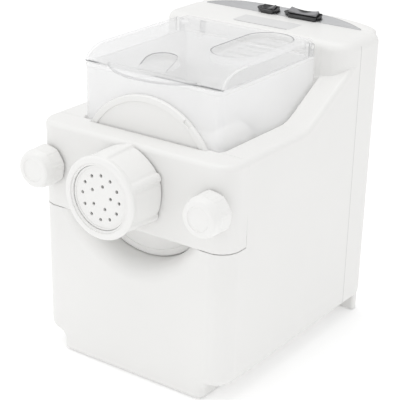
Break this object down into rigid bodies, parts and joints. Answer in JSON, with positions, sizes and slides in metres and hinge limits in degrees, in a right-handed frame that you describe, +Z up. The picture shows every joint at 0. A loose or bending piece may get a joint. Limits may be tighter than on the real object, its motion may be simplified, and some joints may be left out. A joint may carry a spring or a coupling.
{
  "type": "electric pasta maker",
  "caption": "Electric pasta maker with a clear hinged-lid mixing bowl, a clamped front bar with two knobs, a ring nut holding the pasta die, and a geared motor drive.",
  "frame": {"origin": "middle of the object's footprint, at the bottom of the rubber feet", "axes": "+X to the right of the machine seen from the front, +Y from the die towards the back, +Z up"},
  "size_m": [0.23, 0.3055, 0.31],
  "materials": {
    "white_shell": "satin white ABS",
    "white_part": "smooth white POM",
    "clear": "clear polycarbonate",
    "silver_panel": "brushed silver foil on plastic",
    "label_grey": "matte grey inlay",
    "switch_dark": "dark grey switch plastic",
    "steel": "machined steel",
    "bronze": "sintered bronze",
    "gear_plastic": "natural nylon",
    "rubber_dark": "soft rubber",
    "seal_grey": "silicone",
    "laminations": "stacked steel sheets",
    "copper": "enamelled copper wire",
    "cast_grey": "die-cast",
    "fan_dark": "moulded nylon",
    "board_green": "solder mask",
    "plunger_red": "moulded plastic",
    "nylon_white": "nylon washer"
  },
  "bodies": {
    "machine": {"housing": "white_shell", "base_plate": "white_shell", "rear_cover": "white_shell", "rubber_feet": "rubber_dark", "front_bar": "white_shell", "clamp_studs": "steel", "front_disc": "white_part", "disc_seal": "seal_grey", "mixing_bowl": "clear", "shaft_seal": "rubber_dark", "hinge_pins": "steel", "idler_shaft": "steel", "gearbox_front_plate": "steel", "gearbox_rear_plate": "steel", "gearbox_spacers": "steel", "shaft_bushes": "bronze", "motor_stator": "laminations", "motor_coils": "copper", "motor_brackets": "cast_grey", "motor_mounts": "rubber_dark", "control_panel": "silver_panel", "label_plate": "label_grey", "power_switch_body": "switch_dark", "mode_switch_body": "switch_dark", "control_board": "board_green", "board_parts": "fan_dark", "interlock_switch": "fan_dark", "cord_gland": "rubber_dark", "housing_screws": "steel"},
    "lid": {"lid": "clear"},
    "washer_left": {"washer_left": "nylon_white"},
    "knob_left": {"knob_left": "white_part", "knob_insert_left": "bronze"},
    "washer_right": {"washer_right": "nylon_white"},
    "knob_right": {"knob_right": "white_part", "knob_insert_right": "bronze"},
    "die": {"die": "white_part"},
    "die_nut": {"die_nut": "white_part"},
    "drive": {"output_gear": "gear_plastic", "output_shaft": "steel", "auger": "white_part", "mixing_paddle": "white_part"},
    "idler": {"idler_gear": "gear_plastic", "idler_pinion": "steel"},
    "rotor": {"motor_rotor": "laminations", "motor_shaft": "steel", "motor_pinion": "bronze", "motor_fan": "fan_dark"},
    "power_rocker": {"power_rocker": "switch_dark"},
    "mode_rocker": {"mode_rocker": "switch_dark"},
    "interlock_plunger": {"interlock_plunger": "plunger_red"}
  },
  "joints": [
    {"name": "lid_hinge", "type": "hinge", "parent": "machine", "child": "lid", "pos_m": [0, 0.06972, 0.295], "axis": [-1, 0, 0], "range_deg": [0, 75]},
    {"name": "washer_left_slide", "type": "slide", "parent": "machine", "child": "washer_left", "axis": [0, -1, 0], "range_m": [0, 0.009]},
    {"name": "knob_left_turn", "type": "hinge", "parent": "washer_left", "child": "knob_left", "pos_m": [-0.0945, -0.11978, 0.192], "axis": [0, -1, 0], "range_deg": [0, 1080]},
    {"name": "washer_right_slide", "type": "slide", "parent": "machine", "child": "washer_right", "axis": [0, -1, 0], "range_m": [0, 0.009]},
    {"name": "knob_right_turn", "type": "hinge", "parent": "washer_right", "child": "knob_right", "pos_m": [0.0945, -0.11978, 0.192], "axis": [0, -1, 0], "range_deg": [0, 1080]},
    {"name": "die_slide", "type": "slide", "parent": "machine", "child": "die", "axis": [0, -1, 0], "range_m": [0, 0.006]},
    {"name": "die_nut_turn", "type": "hinge", "parent": "die", "child": "die_nut", "pos_m": [0, -0.12978, 0.193], "axis": [0, -1, 0], "range_deg": [0, 540]},
    {"name": "drive_spin", "type": "hinge", "parent": "machine", "child": "drive", "pos_m": [0, 0.09022, 0.193], "axis": [0, 1, 0], "continuous": true},
    {"name": "idler_spin", "type": "hinge", "parent": "machine", "child": "idler", "pos_m": [0, 0.11522, 0.12737], "axis": [0, 1, 0], "continuous": true},
    {"name": "rotor_spin", "type": "hinge", "parent": "machine", "child": "rotor", "pos_m": [0, 0.03022, 0.08238], "axis": [0, 1, 0], "continuous": true},
    {"name": "power_rock", "type": "hinge", "parent": "machine", "child": "power_rocker", "pos_m": [-0.02, 0.14544, 0.30143], "axis": [0, 0.866, 0.5], "range_deg": [0, 18]},
    {"name": "mode_rock", "type": "hinge", "parent": "machine", "child": "mode_rocker", "pos_m": [0.022, 0.14544, 0.30143], "axis": [0, 0.866, 0.5], "range_deg": [-8, 8]},
    {"name": "interlock_push", "type": "slide", "parent": "machine", "child": "interlock_plunger", "axis": [0, 1, 0], "range_m": [0, 0.0025], "stiffness_N_per_m": 300}
  ],
  "couplings": [
    {"joint": "washer_left_slide", "follows": "knob_left_turn", "m_per_rad": 0.00047746},
    {"joint": "washer_right_slide", "follows": "knob_right_turn", "m_per_rad": 0.00047746},
    {"joint": "die_slide", "follows": "die_nut_turn", "m_per_rad": 0.00063662},
    {"joint": "idler_spin", "follows": "drive_spin", "ratio": -3.6875},
    {"joint": "rotor_spin", "follows": "drive_spin", "ratio": 15.277}
  ]
}
